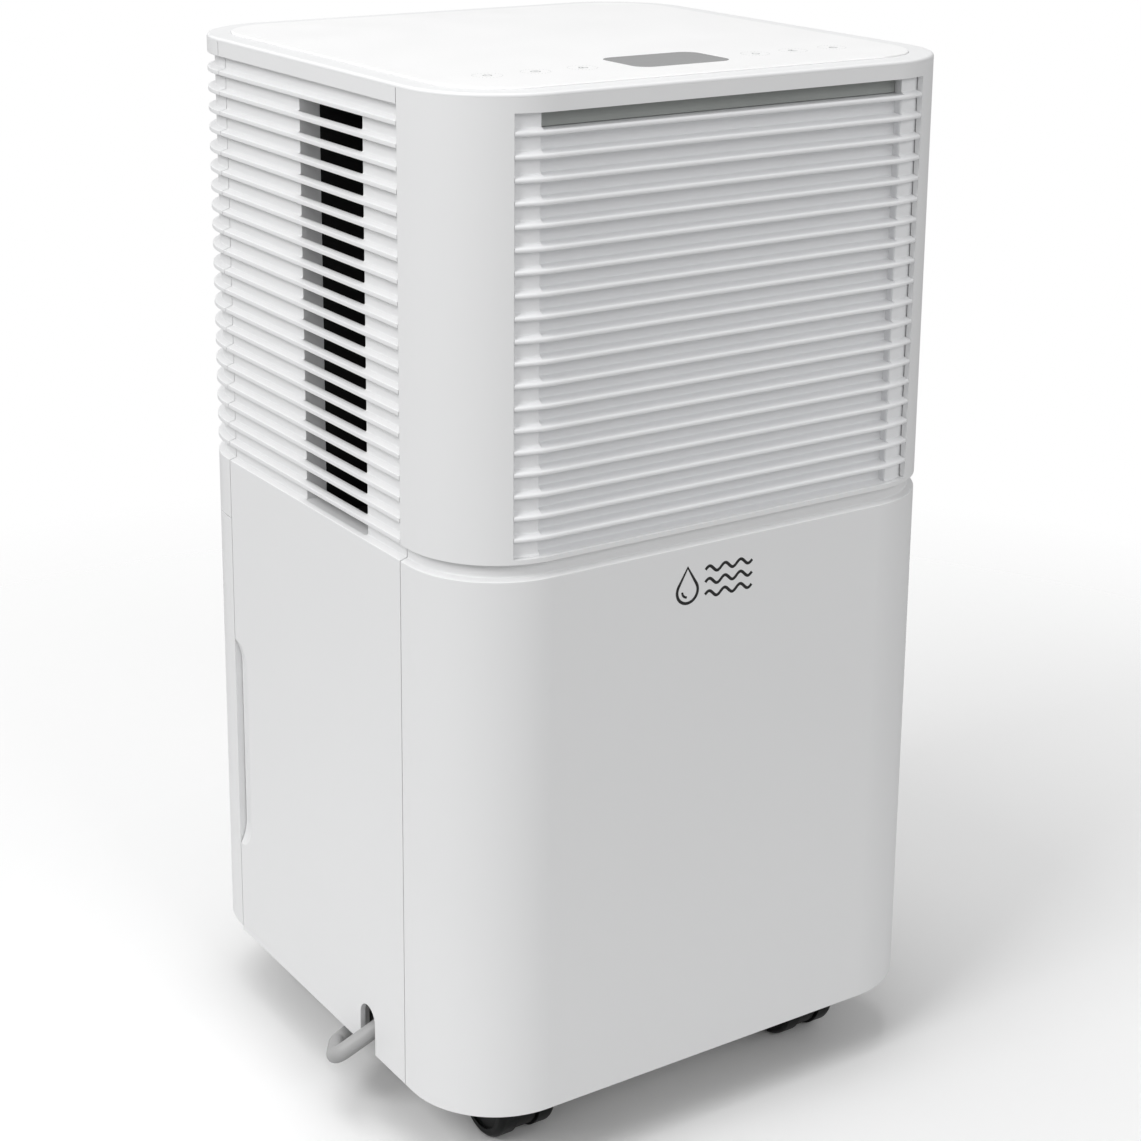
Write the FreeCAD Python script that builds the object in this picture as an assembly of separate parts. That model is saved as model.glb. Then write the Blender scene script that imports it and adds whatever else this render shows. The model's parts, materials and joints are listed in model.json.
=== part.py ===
"""Portable compressor dehumidifier on four twin-wheel castors.

Millimetres. The origin is the centre of the footprint on the floor. +Z is up, the front faces -Y
and +X is on the right of someone who looks at the front. Each function below returns one node.
"""
import FreeCAD, Part
import math
import os

V = FreeCAD.Vector
X_AXIS = V(1, 0, 0)
Y_AXIS = V(0, 1, 0)
Z_AXIS = V(0, 0, 1)

# ---- Driving dimensions: casing ------------------------------------------------------------
WIDTH = 250.0
DEPTH = 248.0
CORNER_R = 41.0
CLEARANCE = 33.0          # floor to the casing's lower edge
BODY_HEIGHT = 425.0
SKIN = 2.4                # moulded wall
SEAM = 0.25               # half of the gap at a seam between two casing parts
COVER_EDGE = 1.6          # height of the top cover's visible edge
PLATEAU_RISE = 0.6        # touch panel above the top cover's rim
RIM_WIDTH = 10.5          # top cover's rim around the touch panel

HALF_W = WIDTH / 2
HALF_D = DEPTH / 2
BOTTOM = CLEARANCE
RIM_TOP = CLEARANCE + BODY_HEIGHT
SHELL_TOP = RIM_TOP - COVER_EDGE
CORNER_X = HALF_W - CORNER_R
CORNER_Y = HALF_D - CORNER_R

FRONT_SEAM_Y = -HALF_D + 47.6
REAR_SEAM_Y = -HALF_D + 204.6
SHOULDER = CLEARANCE + 234.4     # top edge of the plain lower body
REAR_SPLIT = CLEARANCE + 206.6   # top edge of the tank's outer face

# ---- Driving dimensions: ribs --------------------------------------------------------------
RIB_COUNT = 20
RIB_PITCH = 8.82
RIB_EDGE = 2.0
RIB_DEPTH = 3.3
RIB_NOSE = 0.4
RIB_LEDGE = 0.6                  # how far a hollow's floor rises towards its wall
RIB_COVE = 0.8                   # round between a hollow's floor and its wall
VENT_RISE = 0.5                  # sill of a vent opening above its hollow's floor
TOP_RIB = CLEARANCE + 408.8      # underside of the highest rib
BAND_LOW = CLEARANCE + 417.0     # underside of the plain band above the ribs
RIB_WALL = RIB_DEPTH + 2.3
TURN = 1 - math.sqrt(0.5)        # middle point of a quarter round with unit radius
WALL_STEP = SHOULDER - 9.0       # where the wall thickens behind the ribs

# ---- Driving dimensions: front grille ------------------------------------------------------
FRONT_OPEN_TOP = CLEARANCE + 417.5
FRONT_OPEN_ANGLE = 22.5          # how far the opening runs round each corner
HIDDEN_ANGLE = 3.5               # how far the grille's wall runs on behind the casing
PILASTER_DEPTH = 2.9
PILASTER_ROUND = 1.2
FIELD_HALF = 88.0
FIELD_DEPTH = 7.0
FRONT_NOSE = 0.9
GRILLE_BACK = FIELD_DEPTH + 2.0

# ---- Driving dimensions: side outlet and rear intake ---------------------------------------
OUTLET_Y = (-HALF_D + 80.2, -HALF_D + 134.5)
OUTLET_COLLAR = 7.0
INTAKE_HALF = 80.0
MULLION = 3.0
MULLION_COUNT = 5

# ---- Driving dimensions: castors -----------------------------------------------------------
CASTOR_X = 77.0
CASTOR_FRONT_Y = -70.0
CASTOR_REAR_Y = 70.0
WHEEL_R = 18.0
WHEEL_WIDTH = 8.6
WHEEL_ROUND = 2.5
FORK_HALF = 4.4                  # half width of the body between the two wheels
FORK_R = 17.0
WHEEL_SLOT = 1.0                 # gap between that body and each wheel
HOOD_LOW = 30.0
TRAIL = 11.0
AXLE_R = 2.5
STEM_R = 4.0
RUNNING_GAP = 0.05
WELL_R = 35.0
WELL_WALL = 2.0
WELL_TOP = 50.0
STEM_TOP = 58.0

# ---- Driving dimensions: base, deck and tank -----------------------------------------------
PAN_FLOOR = 36.0
PAN_WALL = 2.5
PAN_INSET = 3.0
DECK_Z = 240.6
DECK_T = 2.4
BAY_FRONT_Y = 13.0
TANK_HALF = 107.0
TANK_Y = (19.0, 117.0)
TANK_Z = (62.0, 192.0)
TANK_WALL = 2.0
HANDLE_PIVOT = (68.0, 201.0)     # Y and Z of the tank handle's hinge line
HANDLE_ARM = 31.0
HANDLE_HALF = 92.0
HANDLE_BAR_R = 4.0
HANDLE_PIN_R = 3.0
FLOAT_PIVOT = (34.0, 181.0)      # Y and Z of the float's hinge line
FLOAT_X = -62.0
FLOAT_PIN_R = 2.0

# ---- Driving dimensions: air path ----------------------------------------------------------
FAN_X = 6.0
FAN_Z = 350.0
FAN_R = 68.0
FAN_Y = (-38.0, 6.0)
VOLUTE_R = 92.0
SCROLL_T = 2.0
SHAFT_R = 4.0
MOTOR_R = 36.0
MOTOR_Y = (-98.0, -50.0)
CONDENSER_Y = (54.0, 76.0)
EVAPORATOR_Y = (82.0, 104.0)
COIL_HALF = 86.0
COIL_Z = (262.0, 436.0)
COIL_ROWS = 7
COIL_TUBE_R = 3.5
FIN_PITCH = 5.0
FIN_T = 0.5

# ---- Driving dimensions: compressor and pipes ----------------------------------------------
COMPRESSOR_X = 12.0
COMPRESSOR_Y = -54.0
COMPRESSOR_R = 46.0
COMPRESSOR_Z = (60.0, 196.0)
FOOT_PAD = 8.0                   # pads of the base under the compressor's feet
PIPE_R = 3.2
RISER_SPOTS = [(107.0, -22.0), (114.5, -4.0)]   # hot and cold gas lines through the deck

# ---- Driving dimensions: controls ----------------------------------------------------------
WINDOW_X = (-22.0, 25.0)
WINDOW_Y = (-HALF_D + 33.0, -HALF_D + 65.0)
WINDOW_R = 7.0
KEY_XS = (-85.0, -63.0, -41.0, 46.0, 66.0, 86.0)
KEY_Y = -HALF_D + 49.0

CABLE_R = 3.65
CABLE_Y = -HALF_D + 80.5
CABLE_ENTRY = (-108.0, -45.0, 44.0)
CABLE_RUN_Z = 25.0               # height of the cable's run under the base
CLIP_X = (-75.0, -65.0)
CLIP_Y = -8.0
CLIP_HALF = 6.0
SCREW_X = 112.0
SCREW_YS = (-20.0, 30.0)
SCREW_HEAD_R = 3.5
SCREW_SHANK_R = 1.5
SCREW_SEAT = PAN_FLOOR + 2.6     # the heads sit in counterbores, clear of the base's face
NOTCH_HALF = 6.5
NOTCH_TOP = CLEARANCE + 21.0
GRIP_Z = (CLEARANCE + 45.0, CLEARANCE + 148.0)
GRIP_REACH = 12.0                # from the seam to the front edge of the finger grip
GRIP_DEPTH = 3.2
GRIP_BACK = GRIP_DEPTH + 2.0


# ---- Helpers -------------------------------------------------------------------------------
def box(x, y, z):
    """Box from three (low, high) pairs."""
    return Part.makeBox(x[1] - x[0], y[1] - y[0], z[1] - z[0], V(x[0], y[0], z[0]))


def rod(radius, start, direction, length):
    """Plain cylinder from a start point."""
    return Part.makeCylinder(radius, length, V(*start), direction)


def tube(outer, inner, start, direction, length):
    """Hollow cylinder from a start point."""
    return rod(outer, start, direction, length).cut(rod(inner, start, direction, length))


def union(shapes):
    """One solid from several that meet."""
    first, *rest = shapes
    return first.fuse(rest).removeSplitter() if rest else first


def rounded_face(x, y, radius, z):
    """Flat rounded rectangle at height z."""
    centres = [
        (x[1] - radius, y[1] - radius, 0),
        (x[0] + radius, y[1] - radius, 90),
        (x[0] + radius, y[0] + radius, 180),
        (x[1] - radius, y[0] + radius, 270),
    ]
    points = []
    for cx, cy, start in centres:
        arc = []
        for turn in (0, 45, 90):
            a = math.radians(start + turn)
            arc.append(V(cx + radius * math.cos(a), cy + radius * math.sin(a), z))
        points.append(arc)
    edges = []
    for i, arc in enumerate(points):
        edges.append(Part.Arc(*arc).toShape())
        following = points[(i + 1) % 4][0]
        if arc[2].distanceToPoint(following) > 1e-6:
            edges.append(Part.LineSegment(arc[2], following).toShape())
    return Part.Face(Part.Wire(edges))


def rounded_box(x, y, z, radius):
    """Upright block with rounded vertical edges."""
    return rounded_face(x, y, radius, z[0]).extrude(V(0, 0, z[1] - z[0]))


def slab(inset, low, high):
    """The casing's plan outline, moved in by an inset, between two heights."""
    return rounded_box((-HALF_W + inset, HALF_W - inset), (-HALF_D + inset, HALF_D - inset),
                       (low, high), CORNER_R - inset)


def ring(outer_inset, inner_inset, low, high):
    """Wall that follows the casing's plan outline."""
    return slab(outer_inset, low, high).cut(slab(inner_inset, low - 1, high + 1))


def in_front(shape, y):
    """The part of a shape with lower y."""
    return shape.common(box((-200, 200), (-200, y), (-50, 600)))


def behind(shape, y):
    """The part of a shape with higher y."""
    return shape.common(box((-200, 200), (y, 200), (-50, 600)))


def traced_face(start, steps, place):
    """Face from (depth, height) steps; one point is a line and two points are an arc."""
    edges = []
    here = start
    for step in steps + [[start]]:
        if len(step) == 2:
            edges.append(Part.Arc(place(*here), place(*step[0]), place(*step[1])).toShape())
        else:
            edges.append(Part.LineSegment(place(*here), place(*step[0])).toShape())
        here = step[-1]
    return Part.Face(Part.Wire(edges))


def front_place(x):
    """Depth and height to a point on the front, at a given x."""
    return lambda d, z: V(x, -HALF_D + d, z)


def back_place(x):
    """Depth and height to a point on the back, at a given x."""
    return lambda d, z: V(x, HALF_D - d, z)


def side_place(side, y):
    """Depth and height to a point on a side, at a given y."""
    return lambda d, z: V(side * (HALF_W - d), y, z)


def rib_low(k):
    """Underside of rib k, where rib 1 is the highest."""
    return TOP_RIB - (k - 1) * RIB_PITCH


def rib_cells(lowest, highest):
    """Hollows between the ribs as (low, high) pairs, from the bottom up."""
    lows = [lowest] + [rib_low(k) + RIB_EDGE for k in range(RIB_COUNT, 0, -1)]
    highs = [rib_low(k) for k in range(RIB_COUNT, 0, -1)] + [highest]
    return list(zip(lows, highs))


def hollow_floor(low, depth):
    """Steps along a hollow's floor: a rising ledge, then a small cove into the wall."""
    foot = low + RIB_LEDGE
    return [
        [(depth - RIB_COVE, foot)],
        [(depth - RIB_COVE * TURN, foot + RIB_COVE * TURN), (depth, foot + RIB_COVE)],
    ]


def hollow_steps(low, high, depth, nose):
    """Steps past one hollow: lower nose, floor, wall, flat ceiling and upper nose."""
    steps = [
        [(0, low - nose)],
        [(nose * TURN, low - nose * TURN), (nose, low)],
    ]
    steps += hollow_floor(low, depth)
    steps += [
        [(depth, high)],
        [(nose, high)],
        [(nose * TURN, high + nose * TURN), (0, high + nose)],
    ]
    return steps


def rib_steps(cells, depth, nose):
    """Outline steps up a ribbed wall."""
    return [step for low, high in cells for step in hollow_steps(low, high, depth, nose)]


def sweep_round_end(profile_at, end):
    """Sweep a wall profile across the front (-1) or back (1) of the casing and its corners."""
    seam = FRONT_SEAM_Y - SEAM if end < 0 else REAR_SEAM_Y + SEAM
    flat_place = front_place if end < 0 else back_place
    corner_y = end * CORNER_Y
    pieces = [profile_at(flat_place(-CORNER_X)).extrude(V(2 * CORNER_X, 0, 0))]
    for side in (-1, 1):
        face = profile_at(side_place(side, seam))
        pieces.append(face.extrude(V(0, corner_y - seam, 0)))
        corner = profile_at(side_place(side, corner_y))
        pieces.append(corner.revolve(V(side * CORNER_X, corner_y, 0), Z_AXIS, side * end * 90))
    return union(pieces)


def rounded_path(points, radius):
    """Wire through points, with round bends."""
    corners = [V(*p) for p in points]
    edges = []
    here = corners[0]
    for i in range(1, len(corners) - 1):
        before = (corners[i] - corners[i - 1]).normalize()
        after = (corners[i + 1] - corners[i]).normalize()
        angle = before.getAngle(after)
        if angle < 1e-4:
            continue
        back = radius * math.tan(angle / 2)
        start = corners[i] - before * back
        end = corners[i] + after * back
        inward = (after - before).normalize()
        centre = corners[i] + inward * (radius / math.cos(angle / 2))
        middle = centre - inward * radius
        if here.distanceToPoint(start) > 1e-6:
            edges.append(Part.LineSegment(here, start).toShape())
        edges.append(Part.Arc(start, middle, end).toShape())
        here = end
    edges.append(Part.LineSegment(here, corners[-1]).toShape())
    return Part.Wire(edges)


def pipe(points, radius, bend):
    """Round bar along a path with round bends."""
    path = rounded_path(points, bend)
    start = V(*points[0])
    direction = V(*points[1]) - start
    section = Part.Wire([Part.makeCircle(radius, start, direction)])
    return path.makePipeShell([section], True, False)


# ---- Casing --------------------------------------------------------------------------------
def window_block(grow, low, high):
    """The display window's outline, grown by a margin."""
    return rounded_box((WINDOW_X[0] - grow, WINDOW_X[1] + grow),
                       (WINDOW_Y[0] - grow, WINDOW_Y[1] + grow), (low, high), WINDOW_R + grow)


def make_top_cover():
    cover = slab(0, SHELL_TOP, RIM_TOP)
    edges = [e for e in cover.Edges if e.BoundBox.ZMin > RIM_TOP - 0.01]
    cover = cover.makeFillet(1.2, edges)
    cover = cover.cut(slab(RIM_WIDTH, SHELL_TOP + 0.6, RIM_TOP + 1))
    locating_rim = ring(6.2, 8.2, SHELL_TOP - 4.0, SHELL_TOP + 0.3)
    cover = union([cover, locating_rim])
    return cover.cut(window_block(-1.5, SHELL_TOP - 6, RIM_TOP + 1))


def make_touch_panel():
    panel = slab(RIM_WIDTH + 0.2, SHELL_TOP + 0.6, RIM_TOP + PLATEAU_RISE)
    edges = [e for e in panel.Edges if e.BoundBox.ZMin > RIM_TOP + PLATEAU_RISE - 0.01]
    panel = panel.makeFillet(0.5, edges)
    return panel.cut(window_block(0, SHELL_TOP, RIM_TOP + 2))


def make_display_window():
    return window_block(-0.15, SHELL_TOP + 0.7, RIM_TOP + PLATEAU_RISE)


def make_display_board():
    board = box((-95, 95), (-106, -52), (446.0, 447.6))
    display = window_block(-4, 447.6, SHELL_TOP - 0.6)
    return union([board, display])


def make_touch_springs():
    springs = []
    for x in KEY_XS:
        springs.append(tube(5.0, 3.8, (x, KEY_Y, 447.6), Z_AXIS, SHELL_TOP - 0.2 - 447.6))
    return Part.makeCompound(springs)


def front_opening(low, high):
    """Block that fills the front opening out to a corner angle on each side."""
    reach = 2 * CORNER_R
    angle = math.radians(FRONT_OPEN_ANGLE)
    corners = [
        V(-CORNER_X, -CORNER_Y, low),
        V(-CORNER_X - reach * math.sin(angle), -CORNER_Y - reach * math.cos(angle), low),
        V(CORNER_X + reach * math.sin(angle), -CORNER_Y - reach * math.cos(angle), low),
        V(CORNER_X, -CORNER_Y, low),
    ]
    wire = Part.makePolygon(corners + [corners[0]])
    return Part.Face(wire).extrude(V(0, 0, high - low))


def make_front_shell():
    low = rib_low(RIB_COUNT)
    shell = in_front(ring(0, SKIN, low, SHELL_TOP), FRONT_SEAM_Y - SEAM)
    rail_top = low + RIB_EDGE
    shell = shell.cut(front_opening(rail_top, FRONT_OPEN_TOP))
    stiffener = in_front(ring(SKIN, SKIN + 1.6, 451.6, SHELL_TOP), FRONT_SEAM_Y - 6)
    return union([shell, stiffener])


def grille_profile(place):
    """Ribbed wall of the front opening, from the pilasters' depth to its back."""
    foot = rib_low(RIB_COUNT) + 0.5
    low = rib_low(RIB_COUNT) + RIB_EDGE
    high = FRONT_OPEN_TOP - 0.2
    behind_rail = SKIN + 0.1
    # The lowest hollow starts behind the casing's rail and the highest ends under the casing.
    first = [[(behind_rail, low + 0.3)], [(PILASTER_DEPTH, low + RIB_LEDGE + 0.3)]]
    floor_count = 4
    steps = rib_steps(rib_cells(0, high)[1:], PILASTER_DEPTH, FRONT_NOSE)[floor_count:-2]
    last = [[(GRILLE_BACK, high)], [(GRILLE_BACK, foot)]]
    return traced_face((behind_rail, foot), first + steps + last, place)


def hidden_profile(place):
    """Plain wall that carries the grille on behind the casing at both ends."""
    low = rib_low(RIB_COUNT) + 0.5
    high = FRONT_OPEN_TOP - 0.2
    steps = [[(PILASTER_DEPTH, high)], [(GRILLE_BACK, high)], [(GRILLE_BACK, low)]]
    return traced_face((PILASTER_DEPTH, low), steps, place)


def make_front_grille():
    pieces = [grille_profile(front_place(-CORNER_X)).extrude(V(2 * CORNER_X, 0, 0))]
    for side in (-1, 1):
        place = front_place(side * CORNER_X)
        hub = V(side * CORNER_X, -CORNER_Y, 0)
        open_turn = side * (FRONT_OPEN_ANGLE - 0.2)
        pieces.append(grille_profile(place).revolve(hub, Z_AXIS, open_turn))
        hidden_turn = side * (FRONT_OPEN_ANGLE + HIDDEN_ANGLE)
        pieces.append(hidden_profile(place).revolve(hub, Z_AXIS, hidden_turn))
    grille = union(pieces)
    cutters = []
    for k in range(RIB_COUNT, 1, -1):
        low = rib_low(k) + RIB_EDGE
        high = rib_low(k - 1)
        start_d = SKIN + 0.1 if k == RIB_COUNT else FRONT_NOSE
        steps = [[(start_d, low)]] + hollow_floor(low, FIELD_DEPTH)
        steps += [[(FIELD_DEPTH, high)], [(-1, high)]]
        face = traced_face((-1, low), steps, front_place(-FIELD_HALF))
        cutters.append(face.extrude(V(2 * FIELD_HALF, 0, 0)))
        cutters += pilaster_rounds(low + RIB_LEDGE + RIB_COVE, high)
    slot_low = rib_low(1) + RIB_EDGE
    cutters.append(box((-FIELD_HALF, FIELD_HALF), (-HALF_D - 5, -HALF_D + 20),
                       (slot_low, FRONT_OPEN_TOP + 1)))
    return grille.cut(Part.makeCompound(cutters))


def pilaster_rounds(low, high):
    """Cutters that round both pilasters' inner corners in one hollow."""
    r = PILASTER_ROUND
    y = -HALF_D + PILASTER_DEPTH
    cutters = []
    for side in (-1, 1):
        corner = box(sorted((side * FIELD_HALF, side * (FIELD_HALF + r))), (y, y + r), (low, high))
        cutters.append(corner.cut(rod(r, (side * (FIELD_HALF + r), y + r, low), Z_AXIS, high - low)))
    return cutters


def make_status_light_lens():
    return box((-FIELD_HALF + 0.3, FIELD_HALF - 0.3),
               (-HALF_D + FIELD_DEPTH, -HALF_D + GRILLE_BACK),
               (rib_low(1) + RIB_EDGE + 0.3, FRONT_OPEN_TOP - 0.2))


def make_status_light_board():
    y = -HALF_D + GRILLE_BACK
    z = rib_low(1) + RIB_EDGE
    board = box((-70, 70), (y + 2.6, y + 4.2), (z - 3.0, z + 6.0))
    lamps = [box((x - 2.5, x + 2.5), (y + 1.0, y + 2.6), (z + 1.0, z + 5.0))
             for x in (-60, -30, 0, 30, 60)]
    return union([board] + lamps)


def skin_profile(low, place):
    """Casing wall: plain below the shoulder, ribbed above, plain band at the top."""
    steps = rib_steps(rib_cells(SHOULDER, BAND_LOW), RIB_DEPTH, RIB_NOSE)
    rest = [
        [(0, SHELL_TOP)],
        [(RIB_WALL, SHELL_TOP)],
        [(RIB_WALL, WALL_STEP)],
        [(SKIN, WALL_STEP)],
        [(SKIN, low)],
    ]
    return traced_face((0, low), steps + rest, place)


def span_from_skin(side, outer, inner):
    """X range between two depths below the casing's side."""
    return sorted((side * (HALF_W - outer), side * (HALF_W - inner)))


def grip_scoop(side):
    """Shallow capsule whose outline on the panel is a slot with round ends."""
    radius = (GRIP_REACH ** 2 + GRIP_DEPTH ** 2) / (2 * GRIP_DEPTH)
    x = side * (HALF_W - GRIP_DEPTH + radius)
    ends = (GRIP_Z[0] + GRIP_REACH, GRIP_Z[1] - GRIP_REACH)
    scoop = rod(radius, (x, REAR_SEAM_Y, ends[0]), Z_AXIS, ends[1] - ends[0])
    return scoop.fuse([Part.makeSphere(radius, V(x, REAR_SEAM_Y, z)) for z in ends])


def make_side_panel(side, has_outlet):
    start = FRONT_SEAM_Y + SEAM
    end = REAR_SEAM_Y - SEAM
    panel = skin_profile(BOTTOM, side_place(side, start)).extrude(V(0, end - start, 0))
    # Finger grip beside the tank's outer face, with a thicker wall behind it.
    backing = box(span_from_skin(side, GRIP_BACK, SKIN), (end - GRIP_REACH - 3, end),
                  (GRIP_Z[0] - 4, GRIP_Z[1] + 4))
    panel = union([panel, backing]).cut(grip_scoop(side))
    if has_outlet:
        panel = cut_outlet(panel, side)
        panel = panel.cut(cable_notch(side))
    return panel


def cut_outlet(panel, side):
    """Open the hollows between the ribs and add the duct's collar behind them."""
    cells = rib_cells(SHOULDER, BAND_LOW)[:-1]
    sill = SHOULDER + VENT_RISE
    top = rib_low(1)
    through = span_from_skin(side, -1, RIB_WALL + 1)
    cutters = [box(through, OUTLET_Y, (low + VENT_RISE, high)) for low, high in cells]
    # The slats end at the ribs' depth.
    cutters.append(box(span_from_skin(side, RIB_DEPTH, RIB_WALL + 1), OUTLET_Y, (sill, top)))
    panel = panel.cut(Part.makeCompound(cutters))
    wall = 1.6
    collar = box(span_from_skin(side, RIB_WALL, RIB_WALL + OUTLET_COLLAR),
                 (OUTLET_Y[0] - wall, OUTLET_Y[1] + wall), (sill - wall, top + wall))
    return union([panel, collar.cut(box((-200, 200), OUTLET_Y, (sill, top)))])


def cable_notch(side):
    """Arched notch in the panel's lower edge."""
    spring = NOTCH_TOP - NOTCH_HALF
    x = span_from_skin(side, -5, 15)
    notch = box(x, (CABLE_Y - NOTCH_HALF, CABLE_Y + NOTCH_HALF), (BOTTOM - 1, spring))
    return notch.fuse(rod(NOTCH_HALF, (x[0], CABLE_Y, spring), X_AXIS, x[1] - x[0]))


def front_lower_profile(place):
    """Plain wall with a ledge and an upstand that close the gap under the front shell."""
    top = rib_low(RIB_COUNT) + 0.2
    lip_low = SHOULDER - 8.0
    ledge = hollow_steps(SHOULDER, top, RIB_DEPTH, RIB_NOSE)[:-2]
    rest = [
        [(RIB_WALL, top)],
        [(RIB_WALL, lip_low)],
        [(SKIN, lip_low)],
        [(SKIN, BOTTOM)],
    ]
    return traced_face((0, BOTTOM), ledge + rest, place)


def make_front_lower_panel():
    return sweep_round_end(front_lower_profile, -1)


def rear_profile(place):
    return skin_profile(REAR_SPLIT + SEAM, place)


def make_rear_panel():
    panel = sweep_round_end(rear_profile, 1)
    opening = box((-INTAKE_HALF, INTAKE_HALF), (HALF_D - 20, HALF_D + 5),
                  (rib_low(RIB_COUNT), rib_low(1) + RIB_EDGE))
    return panel.cut(opening)


def make_filter_cover():
    low = rib_low(RIB_COUNT) + 0.25
    high = rib_low(1) + RIB_EDGE - 0.25
    cells = rib_cells(0, 0)[1:-1]
    steps = rib_steps(cells, RIB_DEPTH, RIB_NOSE)
    rest = [[(0, high)], [(RIB_WALL, high)], [(RIB_WALL, low)]]
    half = INTAKE_HALF - 0.25
    cover = traced_face((0, low), steps + rest, back_place(-half)).extrude(V(2 * half, 0, 0))
    span = 2 * (half - 5)
    bay = (span - MULLION_COUNT * MULLION) / (MULLION_COUNT + 1)
    cutters = []
    for i in range(MULLION_COUNT + 1):
        x0 = -half + 5 + i * (bay + MULLION)
        for cell_low, cell_high in cells:
            cutters.append(box((x0, x0 + bay), (HALF_D - 20, HALF_D + 5),
                               (cell_low + VENT_RISE, cell_high)))
    return cover.cut(Part.makeCompound(cutters))


def make_filter_frame():
    y = (HALF_D - RIB_WALL - 5.0, HALF_D - RIB_WALL)
    z = (rib_low(RIB_COUNT) + 2, rib_low(1))
    half = INTAKE_HALF - 2
    frame = box((-half, half), y, z).cut(box((-half + 4, half - 4), (y[0] - 1, y[1] + 1),
                                             (z[0] + 4, z[1] - 4)))
    bars = [box((x - 1, x + 1), (y[0], y[0] + 2), (z[0] + 2, z[1] - 2)) for x in (-26, 26)]
    return union([frame] + bars)


def make_filter_mesh():
    y0 = HALF_D - RIB_WALL - 2.4
    z = (rib_low(RIB_COUNT) + 6.2, rib_low(1) - 4.2)
    half = INTAKE_HALF - 6.2
    return box((-half, half), (y0, y0 + 0.8), z)


# ---- Base and castors ----------------------------------------------------------------------
def castor_spots():
    """Node prefix, stem position and the way the wheels trail."""
    return [
        ("front_left", -CASTOR_X, CASTOR_FRONT_Y, -1),
        ("front_right", CASTOR_X, CASTOR_FRONT_Y, -1),
        ("rear_left", -CASTOR_X, CASTOR_REAR_Y, 1),
        ("rear_right", CASTOR_X, CASTOR_REAR_Y, 1),
    ]


def make_base_pan():
    floor = slab(PAN_INSET, PAN_FLOOR, PAN_FLOOR + PAN_WALL)
    wall = ring(PAN_INSET, PAN_INSET + 2.2, PAN_FLOOR, PAN_FLOOR + 14)
    solids = [floor, wall]
    holes = []
    for _, x, y, _ in castor_spots():
        solids.append(rod(WELL_R + WELL_WALL, (x, y, PAN_FLOOR), Z_AXIS,
                          WELL_TOP + WELL_WALL - PAN_FLOOR))
        solids.append(rod(9.0, (x, y, WELL_TOP), Z_AXIS, STEM_TOP + 2.5 - WELL_TOP))
        holes.append(rod(WELL_R, (x, y, PAN_FLOOR - 1), Z_AXIS, WELL_TOP - PAN_FLOOR + 1))
        holes.append(rod(STEM_R + RUNNING_GAP, (x, y, WELL_TOP - 1), Z_AXIS,
                         STEM_TOP + 1.5 - WELL_TOP))
    for x in (-26, 26):
        solids.append(box((x - 3, x + 3), (22, 112), (PAN_FLOOR, TANK_Z[0] - 0.4)))
    for x, y in foot_spots():
        solids.append(rod(11, (x, y, PAN_FLOOR), Z_AXIS, FOOT_PAD))
    for x, y in screw_spots():
        solids.append(rod(6, (x, y, PAN_FLOOR), Z_AXIS, 9.0))
        holes.append(rod(SCREW_HEAD_R + 0.3, (x, y, PAN_FLOOR - 1), Z_AXIS,
                         SCREW_SEAT - PAN_FLOOR + 1))
        holes.append(rod(SCREW_SHANK_R + 0.1, (x, y, SCREW_SEAT - 0.5), Z_AXIS, 6.0))
    # The cable passes the pan's rim, and its clip snaps through the floor.
    holes.append(box((-HALF_W, -HALF_W + 9), (CABLE_Y - 8, CABLE_Y + 8), (PAN_FLOOR - 1, 60)))
    slack = 0.2
    holes.append(box((CLIP_X[0] - slack, CLIP_X[1] + slack),
                     (CLIP_Y - CLIP_HALF - slack, CLIP_Y + CLIP_HALF + slack),
                     (PAN_FLOOR - 1, PAN_FLOOR + PAN_WALL + 1)))
    return union(solids).cut(Part.makeCompound(holes))


def castor_half_width():
    return FORK_HALF + WHEEL_SLOT + WHEEL_WIDTH


def make_castor_housing(x, y, trail):
    """Body between the two wheels, with a hood over them and the swivel stem."""
    axle_y = y + trail * TRAIL
    half = castor_half_width()
    fork = rod(FORK_R, (x - FORK_HALF, axle_y, WHEEL_R), X_AXIS, 2 * FORK_HALF)
    neck_y = sorted((y - trail * 5, axle_y + trail * 5))
    neck = box((x - FORK_HALF, x + FORK_HALF), neck_y, (WHEEL_R, 44.0))
    hood = tube(WHEEL_R + 2.2, WHEEL_R + 0.8, (x - half, axle_y, WHEEL_R), X_AXIS, 2 * half)
    hood = hood.common(box((x - half, x + half), (axle_y - 40, axle_y + 40), (HOOD_LOW, 60)))
    plate = rod(11, (x, y, 42.0), Z_AXIS, 5.0)
    # Shoulder between the hood and the swivel plate, above both wheels.
    bridge = box((x - 8, x + 8), sorted((y, axle_y)), (WHEEL_R * 2 + 0.8, 44.0))
    stem = rod(STEM_R, (x, y, 44.0), Z_AXIS, STEM_TOP - 44.0)
    body = union([fork, neck, hood, plate, bridge, stem])
    return body.cut(rod(AXLE_R + RUNNING_GAP, (x - 30, axle_y, WHEEL_R), X_AXIS, 60))


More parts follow.
